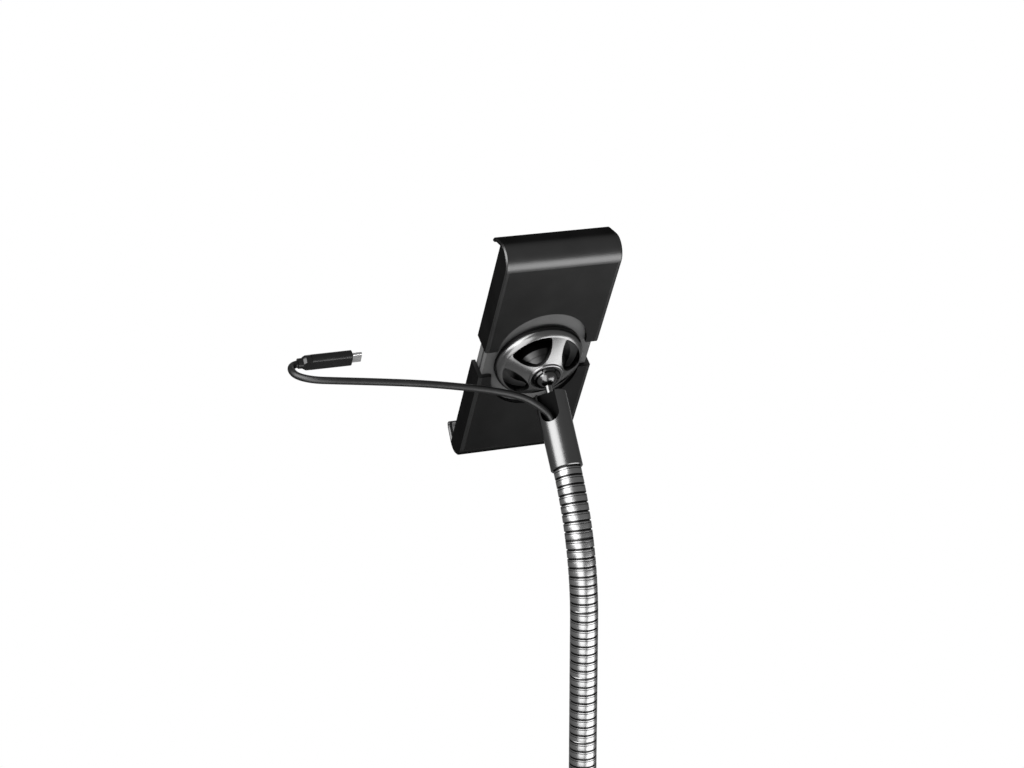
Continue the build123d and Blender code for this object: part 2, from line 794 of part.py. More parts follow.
def carriage_body():
    body = block(carriage_half_width, carriage_half_length, cover_plate_back, carriage_back, carriage_corner)
    body -= block(
        carriage_half_width - carriage_wall, carriage_half_length - carriage_wall,
        cover_plate_back - overrun, plate_inside, carriage_corner - carriage_wall,
    )
    body -= block(spring_gate / 2, carriage_half_length + overrun, cover_plate_back - overrun, plate_inside)
    post = rod(anchor_radius, spring_height - spring_radius, plate_inside)
    for side in (-1, 1):
        body -= Pos(side * carriage_half_width, 0, rail_height) * Box(
            2 * rail_depth, 2 * (carriage_half_length + overrun), rail_width
        )
        body += Pos(0, side * carriage_anchor, 0) * post
    for place in tray_posts():
        body += place * rod(tray_post_radius, cover_plate_back, plate_inside)
        body -= place * rod(small_screw_radius + seat_gap, 0, cover_plate_back + small_screw_length)
    for place in screw_circle(boss_screw_circle, 4, 45):
        body -= place * rod(boss_screw_radius + seat_gap, plate_inside - overrun, carriage_back + overrun)
    return body


def carriage_cover():
    plate = block(
        carriage_half_width, carriage_half_length, cover_plate_front, cover_plate_back, carriage_corner
    )
    for place in tray_posts():
        plate -= place * rod(small_screw_radius + seat_gap, 0, cover_plate_back + overrun)
        plate -= place * rod(small_head_radius + seat_gap, 0, cover_plate_front + small_head_height)
    return plate


def carriage_cover_screws():
    seat = cover_plate_front + small_head_height
    screw = cap_screw(small_screw_radius, small_screw_length, small_head_radius, small_head_height)
    return [place * Pos(0, 0, seat) * screw for place in tray_posts()]


def carriage_pad():
    pad = block(cover_pad_half_width, cover_pad_half_length, pad_front, cover_plate_front, cover_pad_corner)
    return chamfer(pad.faces().sort_by(Axis.Z)[0].edges(), pad_front)


# Jaws, modelled as the upper one and turned half a turn about the hub axis for the lower one

def hook_line(inset, start):
    """The jaw's section line at a depth under its outer skin, from a place on the flat to the hook's lip."""
    flat = Line((start, jaw_back - inset), (hook_start, jaw_back - inset))
    crown = JernArc(flat @ 1, flat % 1, hook_radius - inset, -hook_turn)
    flank = Line(crown @ 1, crown @ 1 + (crown % 1) * hook_flank)
    curl = JernArc(flank @ 1, flank % 1, hook_curl_radius - inset, -hook_curl_turn)
    return [flat, crown, flank, curl]


def jaw_shell():
    outer = hook_line(0, jaw_edge)
    inner = hook_line(jaw_wall, jaw_edge)
    ends = [Line(outer[0] @ 0, inner[0] @ 0), Line(outer[-1] @ 1, inner[-1] @ 1)]
    band = make_face(Wire(outer + inner + ends))
    lip = [vertex for vertex in band.vertices() if vertex.Y < 0 and vertex.X < hook_start + hook_radius / 2]
    band = fillet(sorted(lip, key=lambda vertex: vertex.Y)[:2], jaw_lip_round)
    shell = extrude(Plane.YZ * band, jaw_half_width, both=True)
    back_edges = [
        (side * jaw_half_width, (line @ 0.5).X, (line @ 0.5).Y) for side in (-1, 1) for line in outer[:3]
    ]
    crown_end = outer[1] @ 1
    cheek = make_face(Wire(outer[:2] + [
        Line(crown_end, (jaw_edge, crown_end.Y)),
        Line((jaw_edge, crown_end.Y), outer[0] @ 0),
    ]))
    cheek &= Pos(0, jaw_side_front) * Rectangle(4 * hook_start, 4 * jaw_back, align=(Align.CENTER, Align.MIN))
    for side in (-1, 1):
        middle = side * (jaw_half_width - jaw_side_wall / 2)
        shell += Pos(middle, 0, 0) * extrude(Plane.YZ * cheek, jaw_side_wall / 2, both=True)
    shell = chamfer(edges_near(shell, back_edges), jaw_chamfer)
    for side in (-1, 1):
        rib = Box(
            2 * rib_height, carriage_half_length - jaw_edge, rail_width - 2 * free_gap,
            align=(Align.CENTER, Align.MIN, Align.CENTER),
        )
        shell += Pos(side * (jaw_half_width - jaw_side_wall), jaw_edge, rail_height) * rib
        shell += Pos(side * jaw_screw_place, jaw_screw_row, 0) * rod(
            jaw_boss_radius, jaw_front + front_plate_thickness, jaw_back - jaw_wall + seat_gap
        )
        shell -= Pos(side * jaw_screw_place, jaw_screw_row, 0) * rod(
            small_screw_radius + seat_gap, 0, jaw_front + front_plate_thickness + small_screw_length
        )
    post = rod(anchor_radius, spring_height - spring_radius, jaw_back - jaw_wall + seat_gap)
    shell += Pos(0, jaw_anchor, 0) * post
    recess = block(panel_half_width + seat_gap, hook_start, jaw_back - panel_thickness, jaw_back + overrun)
    shell -= recess
    return shell - Pos(0, jaw_edge, 0) * rod(jaw_cutout_radius, 0, jaw_back + overrun)


def jaw_panel():
    length = hook_start - jaw_edge - seat_gap
    corner = (Align.CENTER, Align.MIN, Align.MIN)
    panel = Box(2 * panel_half_width, length, panel_thickness, align=corner)
    panel = Pos(0, jaw_edge, jaw_back - panel_thickness) * panel
    return panel - Pos(0, jaw_edge, 0) * rod(jaw_cutout_radius + seat_gap, 0, jaw_back + overrun)


def jaw_front_plate():
    half = jaw_half_width - jaw_side_wall - seat_gap
    length = front_plate_end - front_plate_start
    corner = (Align.CENTER, Align.MIN, Align.MIN)
    plate = Pos(0, front_plate_start, jaw_front) * Box(2 * half, length, front_plate_thickness, align=corner)
    for side in (-1, 1):
        place = Pos(side * jaw_screw_place, jaw_screw_row, 0)
        plate -= place * rod(small_screw_radius + seat_gap, 0, jaw_front + front_plate_thickness + overrun)
        plate -= place * rod(small_head_radius + seat_gap, 0, jaw_front + small_head_height)
    return plate


def jaw_screws():
    screw = cap_screw(small_screw_radius, small_screw_length, small_head_radius, small_head_height)
    seat = jaw_front + small_head_height
    return [Pos(side * jaw_screw_place, jaw_screw_row, seat) * screw for side in (-1, 1)]


def hook_liner():
    """The rubber that the tablet's edge sits in: a land, a back and a lip inside the hook."""
    outer = hook_line(jaw_wall + seat_gap, jaw_edge)[1:]
    top = jaw_front - seat_gap
    crown = outer[0]
    crown = crown.trim(0.5, 1)
    lip_end = outer[2] @ 1
    floor = -tablet_slot
    outline = Polyline(
        crown @ 0,
        (front_plate_end + seat_gap, (crown @ 0).Y),
        (front_plate_end + seat_gap, top),
        (front_plate_start, top),
        (front_plate_start, liner_face - seat_gap),
        (front_plate_start + liner_face, 0),
        (tablet_half_width, 0),
        (tablet_half_width, floor + liner_face),
        (liner_land_end + liner_face, floor),
        lip_end,
    )
    face = make_face(Wire([crown, outer[1], outer[2]] + outline.edges()))
    half = jaw_half_width - jaw_side_wall - seat_gap
    liner = extrude(Plane.YZ * face, half, both=True)
    for side in (-1, 1):
        liner -= Pos(side * jaw_screw_place, jaw_screw_row, 0) * rod(small_head_radius, -overrun, jaw_front)
    return liner


def jaw_spring():
    """A tension spring, wound close, with a loop round a post at each end."""
    loop_radius = anchor_radius + spring_wire + seat_gap
    near = carriage_anchor + loop_radius
    far = jaw_anchor - loop_radius
    along = Plane(origin=(0, near, spring_height), z_dir=(0, 1, 0))
    coil = along * pipe(spring_radius, spring_radius - spring_wire, 0, far - near)
    caps = along * (rod(spring_radius - spring_wire, 0, spring_wire) + rod(
        spring_radius - spring_wire, far - near - spring_wire, far - near
    ))
    loop_bottom = spring_height - spring_wire
    loop_top = spring_height + spring_wire
    loop = pipe(loop_radius + spring_wire, loop_radius - spring_wire, loop_bottom, loop_top)
    return coil + caps + Pos(0, carriage_anchor, 0) * loop + Pos(0, jaw_anchor, 0) * loop


def lower(piece):
    """The same piece on the lower jaw."""
    return Rot(0, 0, 180) * piece


# Lead and plug

def charging_lead():
    points = [Vector(*point) for point in lead_route]
    radii = []
    for before, corner, after in zip(points, points[1:], points[2:]):
        turn = math.radians((corner - before).get_angle(after - corner))
        run = min((corner - before).length, (after - corner).length)
        radii.append(run_share * run / math.tan(turn / 2))
    path = FilletPolyline(*points, radius=radii)
    print("lead radii", [round(radius, 1) for radius in radii], "length", round(path.length, 1))
    start = Plane(origin=points[0], z_dir=points[1] - points[0])
    lead = sweep(start * Circle(lead_radius), path=path)
    print("lead volume share", round(lead.volume / (math.pi * lead_radius**2 * path.length), 4))
    return lead


def plug_frame():
    """At the lead's end, with z towards the tablet and x up the tablet."""
    return Plane(origin=lead_route[-1], x_dir=head_frame.y_dir, z_dir=(-1, 0, 0))


def plug_strain_relief():
    ring = turned([
        (lead_radius + seat_gap, -relief_length),
        (relief_radius - seat_gap, -relief_length),
        (relief_radius, 0),
        (lead_radius + seat_gap, 0),
    ])
    return plug_frame() * ring


def plug_collar():
    collar = turned([
        (0, 0),
        (collar_piece_end_radius, 0),
        (collar_piece_radius, collar_piece_length / 3),
        (collar_piece_radius, collar_piece_length),
        (0, collar_piece_length),
    ])
    flat = block(plug_body_width, plug_body_thickness / 2, 0, collar_piece_length)
    return plug_frame() * (collar & flat)


def plug_body():
    outline = RectangleRounded(plug_body_width, plug_body_thickness, plug_body_round)
    body = extrude(outline, plug_body_length)
    body = fillet(body.edges().group_by(Axis.Z)[-1], plug_end_round)
    return plug_frame() * Pos(0, 0, collar_piece_length) * body


def plug_tip():
    start = collar_piece_length + plug_body_length
    outline = RectangleRounded(plug_tip_width, plug_tip_thickness, plug_tip_thickness / 2 - seat_gap)
    inner_width = plug_tip_width - 2 * plug_tip_wall
    inner_thickness = plug_tip_thickness - 2 * plug_tip_wall
    inner = RectangleRounded(inner_width, inner_thickness, inner_thickness / 2 - seat_gap)
    shell = extrude(outline, plug_tip_length) - Pos(0, 0, plug_tip_wall * 2) * extrude(inner, plug_tip_length)
    return plug_frame() * Pos(0, 0, start) * shell


def write(name, piece, frame=None):
    """Write one node, one or more separate solids, in the object's own frame."""
    pieces = piece if isinstance(piece, list) else [piece]
    solids = []
    for each in pieces:
        placed = frame * each if frame else each
        solids += placed.solids()
    shape = solids[0] if len(solids) == 1 else Compound(children=solids)
    shape.label = name
    export_step(shape, f"parts/{name}.step")


def main():
    os.makedirs("parts", exist_ok=True)
    for name, make in {
        "base_floor_mat": base_floor_mat,
        "base_plate": base_plate,
        "base_bolt": base_bolt,
        "foot_plug": foot_plug,
        "post_foot_cover": post_foot_cover,
        "cable_outlet_grommet": cable_outlet_grommet,
        "outer_tube": outer_tube,
        "outer_tube_bush": outer_tube_bush,
        "clamp_collar": clamp_collar,
        "clamp_bolt": clamp_bolt,
        "lever_pin": lever_pin,
        "clamp_lever": clamp_lever,
        "inner_tube": inner_tube,
        "inner_tube_guide": inner_tube_guide,
        "mast_ferrule": mast_ferrule,
        "mast_ferrule_screw": mast_ferrule_screw,
        "charging_lead": charging_lead,
        "plug_strain_relief": plug_strain_relief,
        "plug_collar": plug_collar,
        "plug_body": plug_body,
        "plug_tip": plug_tip,
    }.items():
        write(name, make())
    for number in range(1, link_count + 1):
        write(f"neck_link_{number}", neck_link(number))
    for name, make in {
        "sleeve": sleeve,
        "sleeve_insert": sleeve_insert,
        "sleeve_screw": sleeve_screw,
        "ball_stud": ball_stud,
        "ball": ball,
        "lead_gland": lead_gland,
    }.items():
        write(name, make(), sleeve_frame)
    for name, make in {
        "ball_liner": ball_liner,
        "clamp_collet": clamp_collet,
        "carriage_boss": carriage_boss,
        "boss_screws": boss_screws,
        "lock_wheel": lock_wheel,
        "carriage_body": carriage_body,
        "carriage_cover": carriage_cover,
        "carriage_cover_screws": carriage_cover_screws,
        "carriage_pad": carriage_pad,
    }.items():
        write(name, make(), head_frame)
    for name, make in {
        "jaw": jaw_shell,
        "jaw_panel": jaw_panel,
        "jaw_front_plate": jaw_front_plate,
        "jaw_screws": jaw_screws,
        "hook_liner": hook_liner,
        "jaw_spring": jaw_spring,
    }.items():
        piece = make()
        write(f"upper_{name}", piece, head_frame)
        below = [lower(each) for each in piece] if isinstance(piece, list) else lower(piece)
        write(f"lower_{name}", below, head_frame)
    print("ball", [round(value, 2) for value in ball_place])
    print("head", [round(value, 2) for value in head_frame.origin])


main()
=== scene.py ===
import math

import bpy
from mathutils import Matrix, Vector


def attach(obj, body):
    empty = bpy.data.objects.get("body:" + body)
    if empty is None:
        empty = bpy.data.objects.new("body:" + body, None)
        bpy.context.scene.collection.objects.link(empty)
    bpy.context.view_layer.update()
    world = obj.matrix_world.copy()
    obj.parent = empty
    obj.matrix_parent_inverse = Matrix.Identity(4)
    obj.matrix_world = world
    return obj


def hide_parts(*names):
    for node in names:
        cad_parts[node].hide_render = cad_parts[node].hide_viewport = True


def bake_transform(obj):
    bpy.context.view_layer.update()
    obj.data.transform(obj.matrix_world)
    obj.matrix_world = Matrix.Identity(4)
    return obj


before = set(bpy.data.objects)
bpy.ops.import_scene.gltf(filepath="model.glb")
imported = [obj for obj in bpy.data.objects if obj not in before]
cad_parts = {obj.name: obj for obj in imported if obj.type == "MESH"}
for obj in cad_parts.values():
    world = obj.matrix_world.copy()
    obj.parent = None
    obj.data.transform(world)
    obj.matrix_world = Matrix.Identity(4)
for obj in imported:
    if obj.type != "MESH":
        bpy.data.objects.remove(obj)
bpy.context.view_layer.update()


# The stand rests on a round rubber mat, a moulded sheet let into the underside of the base.
# Only its edge shows, as a thin dull line between the steel and the floor.

class Shade:
    """One output among a material's nodes. Sums on it add Math nodes, and node() adds any other."""

    def __init__(self, tree, socket):
        self.tree = tree
        self.socket = socket

    def feed(self, socket, value):
        """Sets a socket to a number or colour, or links it to another output."""
        if isinstance(value, Shade):
            self.tree.links.new(value.socket, socket)
        else:
            socket.default_value = value

    def node(self, kind, settings, inputs, output=0):
        """Adds a node: its settings first, then the values or links of its sockets."""
        made = self.tree.nodes.new(kind)
        for name, setting in settings.items():
            if name == "stops":
                for stop in setting[2:]:
                    made.color_ramp.elements.new(stop[0])
                for element, stop in zip(made.color_ramp.elements, setting):
                    element.position = stop[0]
                    element.color = stop[1]
            else:
                setattr(made, name, setting)
        for name, value in inputs.items():
            self.feed(made.inputs[name], value)
        return Shade(self.tree, made.outputs[output])

    def math(self, operation, other=0.0):
        """A Math node on this value and another."""
        return self.node("ShaderNodeMath", {"operation": operation}, {0: self, 1: other})

    def __add__(self, other):
        return self.math("ADD", other)

    def __sub__(self, other):
        return self.math("SUBTRACT", other)

    def __rsub__(self, other):
        return self.node("ShaderNodeMath", {"operation": "SUBTRACT"}, {0: other, 1: self})

    def __mul__(self, other):
        return self.math("MULTIPLY", other)

    __radd__ = __add__
    __rmul__ = __mul__

    def noise(self, size, detail=2.0):
        """Soft mottling from 0 to 1, with spots of about a size in metres."""
        sockets = {"Vector": self, "Scale": 1 / size, "Detail": detail}
        return self.node("ShaderNodeTexNoise", {}, sockets)

    def blend(self, low, high):
        """A colour between two, by this value. A single number stands for a grey."""
        low, high = [(ink, ink, ink) if isinstance(ink, float) else ink for ink in (low, high)]
        sockets = {"Factor": self, 6: (*low, 1), 7: (*high, 1)}
        return self.node("ShaderNodeMix", {"data_type": "RGBA"}, sockets, 2)


class Finish:
    """A surface finish: one Principled shader, and the place that its patterns are measured by."""

    def __init__(self, name):
        self.material = bpy.data.materials.new(name)
        self.material.use_nodes = True
        self.tree = self.material.node_tree
        self.shader = self.tree.nodes["Principled BSDF"]
        self.place = Shade(self.tree, self.tree.nodes.new("ShaderNodeTexCoord").outputs["Object"])

    def set(self, **values):
        """Sets or links the shader's sockets, named with _ for a space."""
        for name, value in values.items():
            self.place.feed(self.shader.inputs[name.replace("_", " ")], value)

    def relief(self, height, depth, strength=1.0):
        """Raises the surface by a pattern from 0 to 1, by up to a depth in metres."""
        sockets = {"Height": height, "Distance": depth, "Strength": strength}
        self.set(Normal=self.place.node("ShaderNodeBump", {}, sockets))

    def on(self, *nodes):
        """Gives the finish to CAD pieces."""
        for node in nodes:
            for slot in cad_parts[node].material_slots:
                slot.material = self.material


def soft_rubber(name, shade, grain, gloss=0.3):
    """Dull moulded rubber or plastic with a fine grain and a little dust in it."""
    rubber = Finish(name)
    dust = rubber.place.noise(size=40 * grain)
    rubber.set(Base_Color=dust.blend(shade, 1.5 * shade))
    rubber.set(Roughness=0.55 + 0.12 * dust, Specular_IOR_Level=gloss)
    rubber.relief(rubber.place.noise(size=grain), depth=0.00004, strength=0.6)
    return rubber


mat_rubber = soft_rubber("mat rubber", shade=0.03, grain=0.0005)
mat_rubber.on("base_floor_mat")


# The base is one turned steel disc with a low cone, powder coated black.
# The coat is baked on, and shows as a fine even orange peel under soft light.

def dark_coat(name, shine, rough, edge=0.5, grain=0.0004):
    """A black plating, coat or moulding, which mirrors a small share of the light.

    With no shine or no grain, the colour or the relief is set after it.
    """
    coat = Finish(name)
    haze = coat.place.noise(size=0.02)
    coat.set(Metallic=1.0, Roughness=rough + 0.05 * haze, Specular_Tint=(edge, edge, edge, 1))
    if shine:
        coat.set(Base_Color=haze.blend(shine, 1.3 * shine))
    if grain:
        coat.relief(coat.place.noise(size=grain), depth=0.000002, strength=0.3)
    return coat


powder_coat = dark_coat("powder coat", shine=0.0105, rough=0.38, edge=0.1, grain=None)
peel = powder_coat.place.noise(size=0.0006, detail=3.0)
powder_coat.relief(peel, depth=0.00004, strength=0.6)
powder_coat.on("base_plate")


# One socket screw holds the mast to the base from below, in a plug pressed into the tube.
# All the stand's screws and pins are zinc-plated steel with a faint cloudy lustre.

def bare_metal(name, spot_size, low, high, rough, haze, detail=2.0):
    """Plain or plated metal, with a mottling in its colour and gloss."""
    metal = Finish(name)
    spots = metal.place.noise(spot_size, detail)
    metal.set(Base_Color=spots.blend(low, high), Metallic=1.0, Roughness=rough + haze * spots)
    return metal


zinc = bare_metal(
    "zinc plate", spot_size=0.0012, low=(0.18, 0.18, 0.186), high=(0.27, 0.27, 0.27),
    rough=0.26, haze=0.18, detail=4.0,
)
zinc.relief(zinc.place.noise(size=0.0002), depth=0.00001, strength=0.4)
zinc.on("base_bolt", "clamp_bolt", "lever_pin", "mast_ferrule_screw", "sleeve_screw")
zinc.on("boss_screws", "carriage_cover_screws", "upper_jaw_screws", "lower_jaw_screws")


# The foot plug, the foot cover and the mast's bushes are moulded in black plastic.
# The mould's spark texture makes them an even dull black.

black_moulding = dark_coat("black moulding", shine=0.0135, rough=0.40, edge=0.1, grain=0.0003)
black_moulding.on("foot_plug", "post_foot_cover", "outer_tube_bush", "inner_tube_guide")
outlet_rubber = soft_rubber("outlet rubber", shade=0.024, grain=0.0003)
outlet_rubber.on("cable_outlet_grommet")


# The mast is two drawn steel tubes, one sliding in the other, coated satin black.
# Drawing leaves very faint lines along the tube under the coat.

tube_coat = dark_coat("tube coat", shine=0.0225, rough=0.28, edge=0.3, grain=None)
line_stretch = (1, 1, 0.03)
drawn_place = tube_coat.place.node(
    "ShaderNodeVectorMath", {"operation": "MULTIPLY"}, {0: tube_coat.place, 1: line_stretch}
)
drawing = drawn_place.noise(size=0.0008, detail=3.0)
tube_coat.relief(drawing, depth=0.000006, strength=0.4)
tube_coat.on("outer_tube", "inner_tube")


# The height clamp is a split plastic collar round the mast, drawn shut by a cam lever on a bolt.
# Both mouldings have a slight sheen where hands rub them.

clamp_plastic = dark_coat("clamp plastic", shine=0.0165, rough=0.34, edge=0.1, grain=0.0003)
clamp_plastic.on("clamp_collar", "clamp_lever")


# The ferrule joins the mast to the gooseneck: turned metal, plated black like the end sleeve.
# The plating is black chrome, smooth and slightly hazy.

black_chrome = dark_coat("black chrome", shine=0.0345, rough=0.25)
black_chrome.on("mast_ferrule", "sleeve")


# The gooseneck is wound from steel strip, so it shows as bands with a fine double line between.
# It is plated black nickel, glossy on the bands, and its colour is painted dark down in the lines
# as shade.
# The pattern is measured along its middle line, which is straight first and then an arc.

neck_foot = 0.817
straight_length = 0.270
bend_foot = 1.087
bend_radius = 0.160
band_pitch = 0.005807
painted_groove_shade = 0.0045
band_shine = 0.084
neck_plate = dark_coat("black nickel", shine=None, rough=0.29, grain=None)
neck_place = neck_plate.place
ahead = neck_place.node("ShaderNodeSeparateXYZ", {}, {0: neck_place}, "Y")
above = neck_place.node("ShaderNodeSeparateXYZ", {}, {0: neck_place}, "Z")
bend_angle = (above - bend_foot).math("ARCTAN2", ahead + bend_radius)
in_bend = above.math("GREATER_THAN", bend_foot)
straight_run = above - neck_foot
bent_run = straight_length + bend_radius * bend_angle
along_neck = straight_run + in_bend * (bent_run - straight_run)
across_band = (along_neck * (1 / band_pitch)).math("FRACT")


def band_levels(*stops):
    """A grey level across each band, from pairs of a place from 0 to 1 and the level there."""
    greys = [(place, (level, level, level, 1)) for place, level in stops]
    return across_band.node("ShaderNodeValToRGB", {"stops": greys}, {0: across_band})


band_profile = band_levels(
    (0.0, 0.0), (0.10, 0.7), (0.30, 1.0), (0.50, 0.8), (0.60, 0.0),
    (0.64, 0.0), (0.70, 0.6), (0.80, 0.2), (0.84, 0.0),
)
# Down in the lines the colour drops to painted shade, standing in for the shade that falls in the
# grooves.
groove_shading = band_levels(
    (0.0, 0.1), (0.06, 1.0), (0.57, 1.0), (0.60, 0.05), (0.65, 0.05),
    (0.68, 1.0), (0.80, 0.8), (0.83, 0.03), (1.0, 0.03),
)
neck_plate.set(Base_Color=groove_shading.blend(painted_groove_shade, band_shine))
neck_plate.relief(band_profile, depth=0.00008)
neck_plate.on(*[f"neck_link_{number}" for number in range(1, 9)])


# The sleeve's plug is moulded black plastic with a flat that clears the lead.
# It carries the ball's stud, turned from steel, and the ball on it is polished and blackened.

insert_plastic = dark_coat("insert plastic", shine=0.0006, rough=0.40, edge=0.0)
insert_plastic.on("sleeve_insert")
gland_rubber = soft_rubber("gland rubber", shade=0.009, grain=0.0003)
gland_rubber.on("lead_gland")
turning_size = 0.0003
stud_steel = bare_metal(
    "turned steel", spot_size=turning_size, low=0.036, high=0.054, rough=0.22, haze=0.12
)
stud_steel.relief(stud_steel.place.noise(size=turning_size), depth=0.00001, strength=0.5)
stud_steel.on("ball_stud")
ball_black = dark_coat("blackened ball", shine=0.027, rough=0.20)
ball_black.on("ball")


# The charging lead leaves the sleeve's slot, runs out past the clamp and turns back to its plug.
# It is one length of soft dark grey jacket, 4.8 mm thick, and hangs clear of the clamp.

lead_radius = 0.0024
lead_route = [
    (0.0029, -0.04085, 1.2008),
    (0.0029, -0.0486, 1.2113),
    (0.0107, -0.0507, 1.2196),
    (0.0203, -0.0549, 1.2259),
    (0.0350, -0.0600, 1.2300),
    (0.0560, -0.0650, 1.2340),
    (0.0850, -0.0696, 1.2386),
    (0.1180, -0.0732, 1.2426),
    (0.1430, -0.0760, 1.2453),
    (0.1570, -0.0787, 1.2466),
    (0.1660, -0.0855, 1.2483),
    (0.1672, -0.0946, 1.2504),
    (0.1629, -0.1001, 1.2516),
    (0.1573, -0.1001, 1.2516),
]
jacket = dark_coat("lead jacket", shine=0.012, rough=0.40)
lead_curve = bpy.data.curves.new("lead", "CURVE")
lead_curve.dimensions = "3D"
lead_curve.bevel_depth = lead_radius
lead_curve.bevel_resolution = 8
lead_curve.resolution_u = 16
lead_curve.use_fill_caps = True
lead_line = lead_curve.splines.new("NURBS")
lead_line.points.add(len(lead_route) - 1)
for point, spot in zip(lead_line.points, lead_route):
    point.co = (*spot, 1)
lead_line.order_u = 3
lead_line.use_endpoint_u = True
lead_curve.materials.append(jacket.material)
lead = bpy.data.objects.new("lead", lead_curve)
bpy.context.collection.objects.link(lead)
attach(lead, "neck_top")
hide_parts("charging_lead")


# The plug is a moulded grip with a collar and a strain relief, all in glossy black plastic.
# Its tongue is drawn steel with a nickel plating.

plug_plastic = dark_coat("plug plastic", shine=0.012, rough=0.30)
plug_plastic.on("plug_strain_relief", "plug_collar", "plug_body")
plug_nickel = bare_metal(
    "plug nickel", spot_size=0.002, low=0.15, high=0.21, rough=0.24, haze=0.10
)
plug_nickel.relief(plug_nickel.place.noise(size=0.0003), depth=0.000004, strength=0.4)
plug_nickel.on("plug_tip")


# A thin nylon cup lines the collet, whose slit nose the hand wheel presses shut round the ball.
# The collet, and the boss on the carriage that the wheel screws on, are moulded in glossy black.

nylon = soft_rubber("liner nylon", shade=0.036, grain=0.0003)
nylon.on("ball_liner")
collet_plastic = dark_coat("collet plastic", shine=0.018, rough=0.24)
collet_plastic.on("clamp_collet", "carriage_boss")


# The hand wheel is moulded as a dish with four broad spokes that swell into the hub.
# Its outside is plated in glossy black, and the dish's inside is painted darker, as painted shade
# in the recess.
# The painted shade starts a little under the dish's cone, within the rim, and deepens further down.

head_origin = Vector((0.0, -0.097245, 1.250522))
head_back = Vector((0.0, 0.8599, -0.5105))
cone_height = 0.0228
cone_radius = 0.0270
cone_slope = 0.676
shade_start_depth = 0.0012
shade_full_depth = 0.0026
rim_radius = 0.0288
wheel_gloss = dark_coat("wheel gloss", shine=None, rough=0.24)
from_head = wheel_gloss.place.node(
    "ShaderNodeVectorMath", {"operation": "SUBTRACT"}, {0: wheel_gloss.place, 1: head_origin}
)
back = from_head.node(
    "ShaderNodeVectorMath", {"operation": "DOT_PRODUCT"}, {0: from_head, 1: head_back}, 1
)
distance = from_head.node("ShaderNodeVectorMath", {"operation": "LENGTH"}, {0: from_head}, 1)
from_axis = (distance * distance - back * back).math("SQRT")
# Under the cone the colour darkens into painted shade, reaching its darkest 2.6 mm down.
under_cone = cone_height + (cone_radius - from_axis) * cone_slope - back
inside_shade = under_cone.node(
    "ShaderNodeMapRange", {}, {0: under_cone, 1: shade_start_depth, 2: shade_full_depth}
)
inside_shade = inside_shade * from_axis.math("LESS_THAN", rim_radius)
wheel_gloss.set(Base_Color=inside_shade.blend(0.051, 0.0105))
wheel_gloss.on("lock_wheel")


# The carriage and its front cover are dull dark grey mouldings, and hold all of the clamp.
# A thin rubber pad is stuck on the cover.

grey_moulding = soft_rubber("grey moulding", shade=0.0144, grain=0.0003, gloss=0.09)
grey_moulding.on("carriage_body", "carriage_cover")
pad_rubber = soft_rubber("pad rubber", shade=0.009, grain=0.0004, gloss=0.12)
pad_rubber.on("carriage_pad")


# Two tension springs inside the carriage draw the jaws together.
# Each is wound from bright wire, a little drawn out, with a loop round a post at both ends.

head_across = Vector((-1.0, 0.0, 0.0))
head_up = Vector((0.0, 0.5105, 0.8599))
wire_radius = 0.00034
wire_sides = 8
coil_radius = 0.00284
coil_turns = 46
coil_steps = 20
loop_radius = 0.00262
loop_steps = 24
loop_gap = 3 * wire_radius
near_post = 0.027
far_post = 0.080
post_height = 0.0082
drawn_size = 0.0006
spring_wire = bare_metal(
    "spring wire", spot_size=drawn_size, low=0.15, high=0.24, rough=0.22, haze=0.10
)
spring_wire.relief(spring_wire.place.noise(size=drawn_size), depth=0.000004, strength=0.4)


def head_point(side, across, up, back):
    """A place on the stand from one on the clamp. Side is 1 for the upper jaw, -1 for the lower."""
    return head_origin + side * across * head_across + side * up * head_up + back * head_back


def loop_spot(post, turn):
    """A place on the wire's loop round a post."""
    return (loop_radius * math.cos(turn), post + loop_radius * math.sin(turn), post_height)


def spring_line():
    """The wire's middle line as places across, up and back on the clamp."""
    spots = []
    for step in range(loop_steps):
        spots.append(loop_spot(near_post, math.pi / 2 + 2 * math.pi * step / loop_steps))
    first = near_post + loop_radius + loop_gap
    last = far_post - loop_radius - loop_gap
    for step in range(coil_turns * coil_steps + 1):
        turn = 2 * math.pi * step / coil_steps
        up = first + (last - first) * step / (coil_turns * coil_steps)
        spots.append((coil_radius * math.cos(turn), up, post_height + coil_radius * math.sin(turn)))
    for step in range(loop_steps):
        spots.append(loop_spot(far_post, -math.pi / 2 + 2 * math.pi * (step + 1) / loop_steps))
    return spots


for jaw, side in (("upper_jaw", 1), ("lower_jaw", -1)):
    spots = [head_point(side, *spot) for spot in spring_line()]
    rings = []
    for before, spot, after in zip(spots[:1] + spots, spots, spots[1:] + spots[-1:]):
        heading = (after - before).normalized()
        if rings:
            last_out = rings[-1][0]
            out = (last_out - heading * heading.dot(last_out)).normalized()
        else:
            out = heading.orthogonal()
        rings.append((out, heading.cross(out), spot))
    points = []
    for out, beside, spot in rings:
        for corner in range(wire_sides):
            turn = 2 * math.pi * corner / wire_sides
            points.append(spot + wire_radius * (math.cos(turn) * out + math.sin(turn) * beside))
    faces = [
        tuple(reversed(range(wire_sides))),
        tuple(range(len(points) - wire_sides, len(points))),
    ]
    for ring in range(len(rings) - 1):
        for corner in range(wire_sides):
            this = ring * wire_sides + corner
            following = ring * wire_sides + (corner + 1) % wire_sides
            faces.append((this, following, following + wire_sides, this + wire_sides))
    spring_mesh = bpy.data.meshes.new(f"{jaw}_wire")
    spring_mesh.from_pydata(points, [], faces)
    spring_mesh.shade_smooth()
    spring_mesh.materials.append(spring_wire.material)
    spring = bpy.data.objects.new(f"{jaw}_coil", spring_mesh)
    bpy.context.collection.objects.link(spring)
    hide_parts(f"{jaw}_spring")
    tuple(head_point(side, 0, near_post + loop_radius, post_height))
    tuple(head_point(side, 0, far_post - loop_radius, post_height))
    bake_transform(spring)


